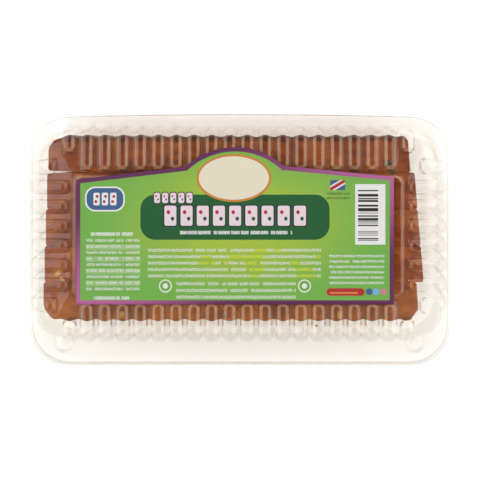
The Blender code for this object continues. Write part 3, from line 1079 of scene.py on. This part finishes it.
# A slanted stripe over a block, given by a point on it, its slope and half its height.
def stripe(x, y, left, right, front, rear, midX, midY, slope, half):
    slanted = abs(y - midY - (x - midX) * slope)
    return block(x, y, left, right, front, rear) * slanted.below(half)


# Random bars across a block, as many units wide as the rule makes them.
def bars(x, y, left, right, front, rear, start, unit, share):
    bar = ((y - start) / unit).apply("FLOOR")
    random = x.finish.out(x.finish.add("TexWhiteNoise", {"noise_dimensions": "1D"}, {"W": bar}))
    return block(x, y, left, right, front, rear) * random.apply("GREATER_THAN", share)


# A row of small cake slices, each with a dark edge and two bits of fruit: masks and tones.
def slicesInRow(x, y, left, right, front, rear, count):
    pitch = (right - left) / count
    step = (x - left) / pitch
    local = (step - step.apply("FLOOR") - 0.5) * pitch
    row = block(x, y, left, right, front - 0.6, rear + 0.6)
    middle, half = (front + rear) / 2, (rear - front) / 2
    yield row * block(local, y, -pitch * 0.45, pitch * 0.45, front - 0.5, rear + 0.5, 1.2), "ink"
    yield row * block(local, y, -pitch * 0.37, pitch * 0.37, front, rear, 1.0), "blush"
    for across, up, tone in ((-0.12, 0.35, "red"), (0.13, -0.30, "band")):
        yield row * disc(local, y, pitch * across, middle + half * up, pitch * 0.11, half * 0.2), tone


labelLook = Values(
    leaf=(0.094, 0.248, 0.036),
    lime=(0.217, 0.298, 0.022),
    plum=(0.070, 0.009, 0.050),
    pink=(0.270, 0.068, 0.180),
    band=(0.004, 0.058, 0.013),
    cream=(0.466, 0.430, 0.330),
    orange=(0.340, 0.130, 0.018),
    white=(0.480, 0.475, 0.460),
    blush=(0.480, 0.390, 0.430),
    blue=(0.024, 0.064, 0.150),
    red=(0.260, 0.007, 0.012),
    yellow=(0.430, 0.430, 0.015),
    ink=(0.010, 0.010, 0.010),
    stripe=(0.180, 0.300, 0.110),
    amber=(0.400, 0.140, 0.020),
    sky=(0.100, 0.250, 0.400),
    rose=(0.350, 0.120, 0.150),
)
flag = (49.5, 57.6, 25.1, 30.5)

# What is printed, in order: the shape, its tone and its measures in mm, as the shape's function takes them.
labelMarks = [
    # band, oval, the two rows of slices and the line under them
    (block, "band", -52.8, 49.2, -1.7, 22.7, 8.0),
    (disc, "orange", -2.4, 31.6, 20.2, 12.9),
    (disc, "cream", -2.4, 31.6, 18.9, 11.7),
    (slicesInRow, "", -46.0, -24.2, 18.1, 23.7, 5),
    (slicesInRow, "", -41.0, 37.6, 5.9, 16.7, 9),
    (lines, "white", -33.0, 29.0, 0.2, 4.2, 1, 2.6, 0.42, 0.35),
    # striped table on the left
    *((block, "stripe", -82.3, -52.7, front, front + 3.1) for front in (-7.3, -13.7, -20.2, -26.7)),
    (lines, "white", -82.0, -62.0, -29.8, -0.4, 9, 2.2, 0.40),
    (lines, "white", -60.8, -53.2, -29.8, -0.4, 9, 1.6, 0.36),
    (lines, "white", -79.6, -55.8, -0.6, 3.4, 1, 2.6, 0.42, 0.35),
    (lines, "white", -78.0, -58.8, -35.0, -31.2, 1, 2.6, 0.42, 0.25),
    # badge with three slices
    (block, "white", -82.6, -61.2, 13.6, 27.0, 5.4),
    (block, "blue", -81.8, -62.0, 14.4, 26.2, 4.8),
    *((block, "white", midX - 1.7, midX + 1.7, 16.9, 23.7, 0.8) for midX in (-76.4, -71.9, -67.4)),
    *((disc, "red", midX + 0.3, 21.7, 0.8, 0.8) for midX in (-76.4, -71.9, -67.4)),
    *((disc, "red", midX - 0.4, 18.9, 0.8, 0.8) for midX in (-76.4, -71.9, -67.4)),
    # print in the middle, and its two ring marks
    (lines, "whiteOrYellow", -48.8, 44.6, -22.9, -5.6, 5, 3.2, 0.34),
    (lines, "white", -33.5, 31.0, -34.4, -23.6, 3, 3.6, 0.34),
    *(
        (disc, tone, midX, -26.6, radius, radius)
        for midX in (-39.3, 35.7)
        for tone, radius in (("white", 3.5), ("leaf", 2.9), ("white", 1.4))
    ),
    # bar symbol, flag, print and small marks on the right
    (block, "white", 63.0, 79.3, -4.3, 28.3),
    (bars, "ink", 64.6, 75.4, -2.9, 26.4, -40.0, 0.36, 0.47),
    (block, "blue", *flag),
    (stripe, "white", *flag, 53.5, 27.8, 0.6, 1.9),
    (stripe, "red", *flag, 53.5, 27.8, 0.6, 1.0),
    (lines, "ink", 47.4, 60.2, 19.6, 24.4, 2, 2.4, 0.34),
    (lines, "white", 49.0, 78.7, -26.4, -9.0, 6, 3.0, 0.34),
    (block, "red", 47.6, 68.1, -31.9, -27.8, 2.0),
    (block, "amber", 49.3, 64.5, -30.8, -29.9),
    *((disc, tone, midX, -29.7, 1.8, 1.8) for tone, midX in (("blue", 70.6), ("sky", 74.3), ("rose", 78.4))),
]


def makeLabelPrint():
    finish = Finish("printed_label")
    look = labelLook
    place = finish.place()
    inMm = finish.add("VectorMath", {"operation": "SCALE"}, {0: place, "Scale": 1 / mm})
    x, y, z = finish.axes(finish.out(inMm))
    y = y - pack.tubY / mm
    margin = finish.attribute("margin").least(x - labelLow.x / mm)
    margin = margin.least(labelHigh.x / mm - x)
    margin = margin.least(y + (pack.tubY - labelLow.y) / mm)
    fromMiddle = ((x * x) / 5200.0 + (y - 8.0) * (y - 8.0) / 1700.0).apply("SQRT")
    colour = finish.blend(fromMiddle.rise(0.25, 1.15), look.lime, look.leaf)
    patch = finish.noise(place, 28.0, 2.0)
    colour = finish.blend(patch.rise(0.45, 0.75) * 0.35, colour, look.leaf)
    inYellow = finish.noise(place, 110.0, 0.0).rise(0.64, 0.67)
    tones = look | {"whiteOrYellow": finish.blend(inYellow, look.white, look.yellow)}
    for shape, tone, *measures in labelMarks:
        made = shape(x, y, *measures)
        for mask, maskTone in made if shape is slicesInRow else [(made, tone)]:
            colour = finish.blend(mask, colour, tones[maskTone])
    towardsPink = (x * y + abs(x) * 12.0).rise(-300.0, 3800.0)
    rim = finish.blend(towardsPink, look.plum, look.pink)
    colour = finish.blend(margin.below(label.border), colour, rim)
    grain = finish.noise(place, 900.0, 3.0)
    # the underside is plain
    colour = finish.blend(z.below(labelHigh.z / mm - 0.15), colour, look.white)
    return finish.show(finish.principled({
        "Base Color": colour,
        "Roughness": 0.42 + grain * 0.12,
        "Specular IOR Level": 0.4,
        "Normal": finish.bump(grain, 0.00006, 0.5),
    }))


makeLabel()
print("label made")


studio = Values(
    lens=47.36,
    sensor=36.0,
    clip=(0.01, 20.0),
    shift=(-0.03125, -0.177),
    eye=(9.0, 50.3, 389.8),
    floorSize=3.0,
    floorTones=((0.86, 0.86, 0.86), (0.84, 0.84, 0.84)),
    floorGap=0.02 * mm,
    # each lamp's place, size and power; all face the origin
    lamps={
        "left_softbox": ((-1.12, 0.2, 0.82), (1.9, 1.88), 12.5),
        "right_softbox": ((1.11, 0.2, 0.82), (1.9, 1.88), 12.5),
        "rear_softbox": ((0, 1.5, 0.42), (2.4, 0.5), 3.5),
        "top_fill": ((0, 0, 1.6), (1.4, 1.4), 22),
    },
    unmirrored=["top_fill"],
    overhead=(0.93, 0.965, 1.0, 0.12),  # the room's brightness falls from 1 to 0.12 straight overhead
    frontToRear=(-0.5, 0.5, 0.28, 0.48),  # and rises from the front to the rear
    roomColour=(1.0, 0.985, 0.96, 1.0),
)


def makeCamera():
    data = bpy.data.cameras.new("camera")
    data.lens = studio.lens
    data.sensor_width = studio.sensor
    data.shift_x, data.shift_y = studio.shift
    data.clip_start, data.clip_end = studio.clip
    camera = bpy.data.objects.new("camera", data)
    camera.location = [value * mm for value in studio.eye]
    bpy.context.scene.collection.objects.link(camera)
    bpy.context.scene.camera = camera


def makeFloor():
    half = studio.floorSize / 2
    points = np.array([(-half, -half, 0), (half, -half, 0), (half, half, 0), (-half, half, 0)], float)
    points[:, 2] = cadBox[0].z - studio.floorGap
    floor = meshFromArrays("floor", points, [np.array([[0, 1, 2, 3]])])
    finish = Finish("pale_floor")
    colour = finish.blend(finish.noise(finish.place(), 3.0, 1.0) * 0.2, *studio.floorTones)
    floor.data.materials.append(finish.show(finish.principled({"Base Color": colour, "Roughness": 0.9})))


def makeLamp(name, place, size, power):
    data = bpy.data.lights.new(name, "AREA")
    data.shape = "RECTANGLE"
    data.size, data.size_y = size
    data.energy = power
    lamp = bpy.data.objects.new(name, data)
    lamp.location = place
    lamp.rotation_mode = "QUATERNION"
    lamp.rotation_quaternion = (-Vector(place)).to_track_quat("-Z", "Y")
    lamp.visible_glossy = name not in studio.unmirrored
    bpy.context.scene.collection.objects.link(lamp)


# The room round the part: bright and nearly white, dimmer overhead and towards the front.
def makeRoom():
    room = Finish("studio", bpy.data.worlds)
    x, y, z = room.axes(room.out(room.add("TexCoord"), "Generated"))
    overhead, rear = (
        room.out(room.add("MapRange", inputs=dict(enumerate(values))))
        for values in ((z, *studio.overhead), (y, *studio.frontToRear))
    )
    background = room.add("Background", inputs={0: studio.roomColour, 1: overhead * rear})
    bpy.context.scene.world = room.show(background, "OutputWorld")


makeCamera()
makeFloor()
for name, (place, size, power) in studio.lamps.items():
    makeLamp(name, place, size, power)
makeRoom()
bpy.context.scene.view_settings.view_transform = "Standard"
bpy.context.scene.cycles.transparent_max_bounces = 32
print("studio made")
